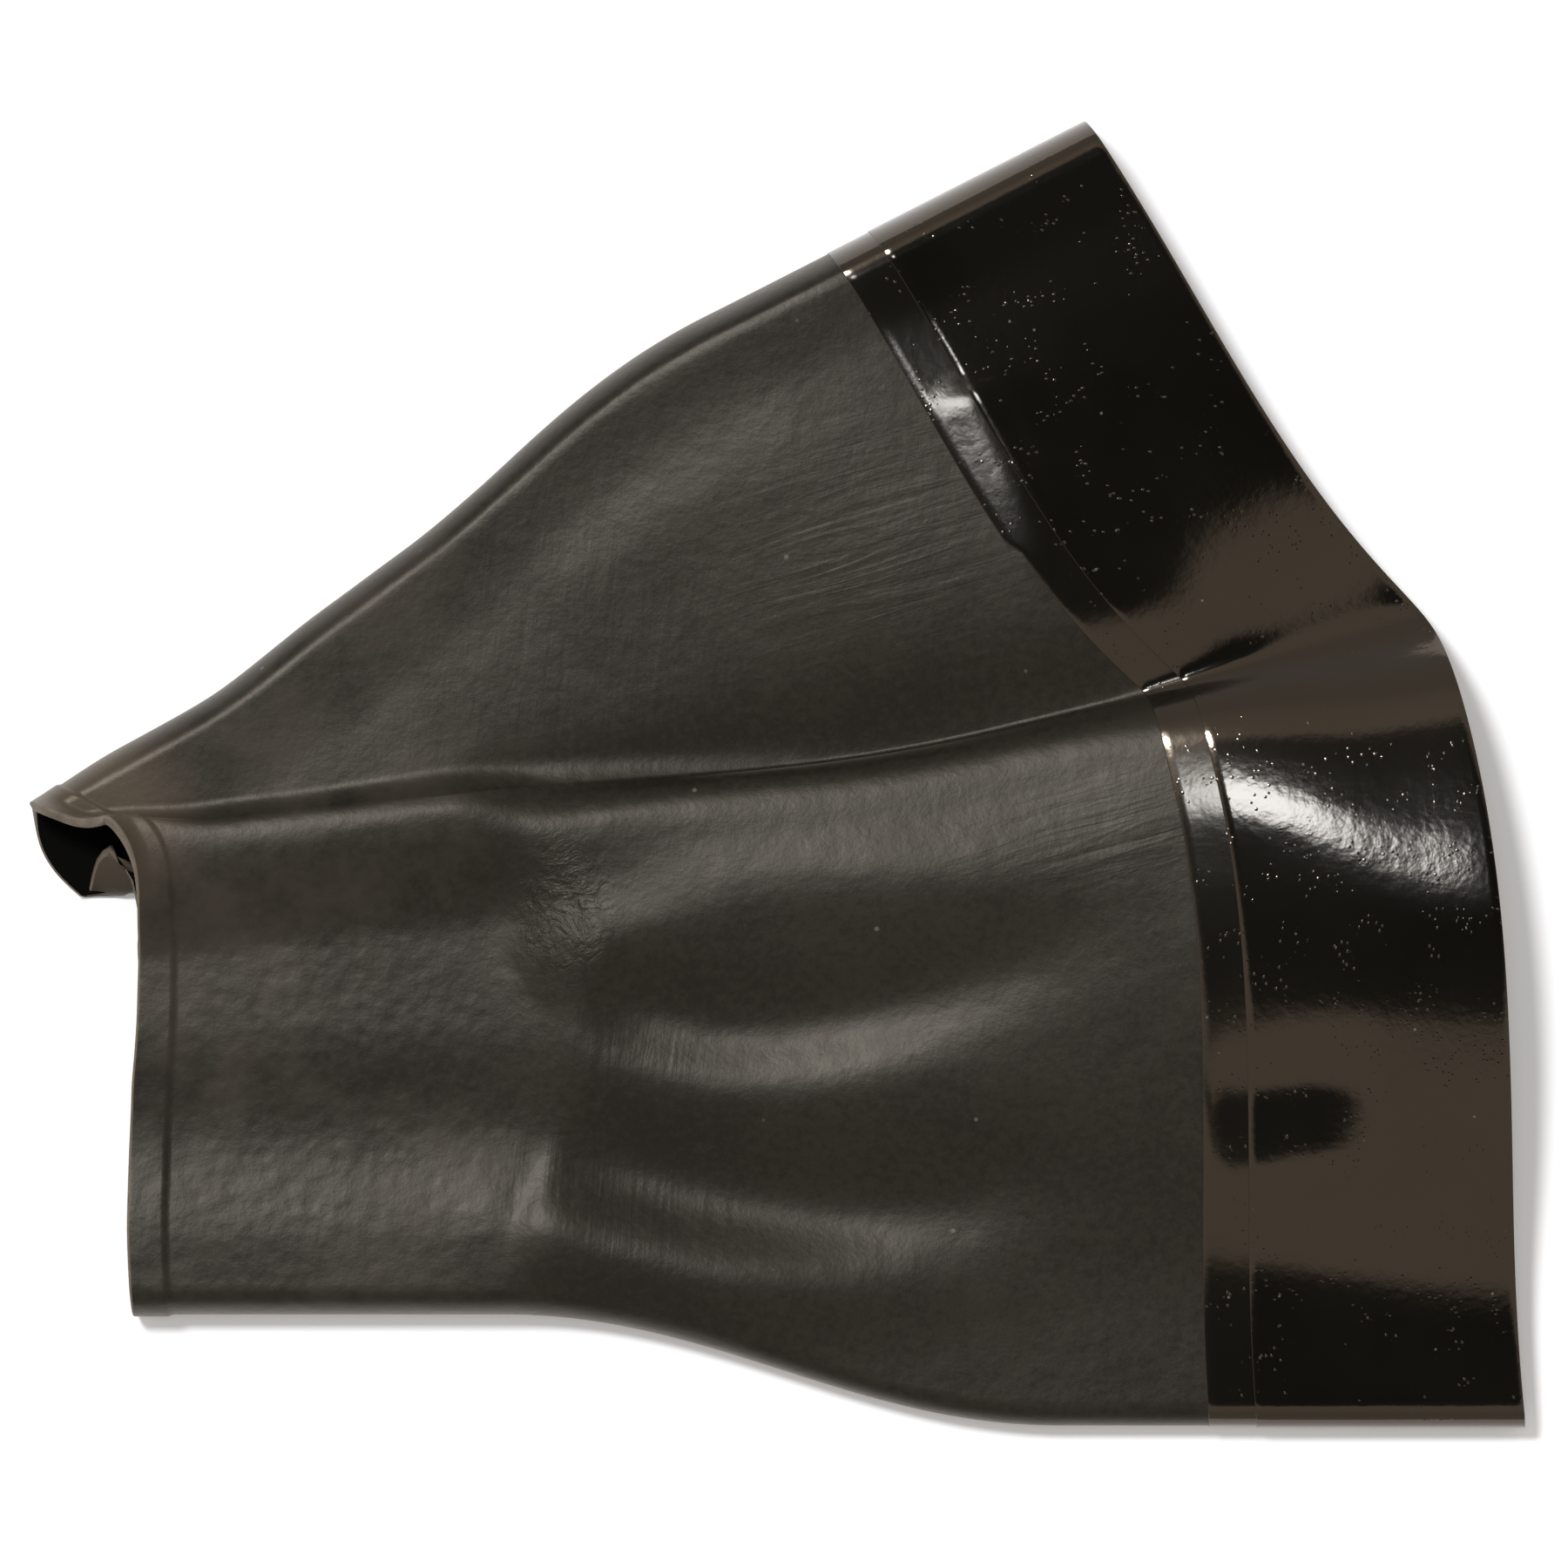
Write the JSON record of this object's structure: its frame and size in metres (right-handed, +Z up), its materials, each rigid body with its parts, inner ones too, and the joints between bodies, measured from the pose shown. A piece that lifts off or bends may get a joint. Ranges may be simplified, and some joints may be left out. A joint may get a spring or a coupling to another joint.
{
  "type": "rubber wrist cuff",
  "caption": "Bell-shaped black rubber wrist cuff, open at both ends, lying flattened with one lengthwise pleat and a glossy bonded band round its wide end.",
  "frame": {"origin": "centre of the footprint, on the surface that the cuff lies on", "axes": "+X from the narrow mouth to the wide mouth, +Y across towards the top fold, +Z up from the surface it lies on"},
  "size_m": [0.1894, 0.1656, 0.0163],
  "materials": {
    "matt_rubber": "matt, leathery grain",
    "ply_rubber": "gloss",
    "gloss_rubber": "high gloss with a fine orange-peel bump"
  },
  "bodies": {
    "root": {"sleeve_body": "matt_rubber", "under_ply": "ply_rubber", "gloss_band": "gloss_rubber"}
  },
  "joints": []
}
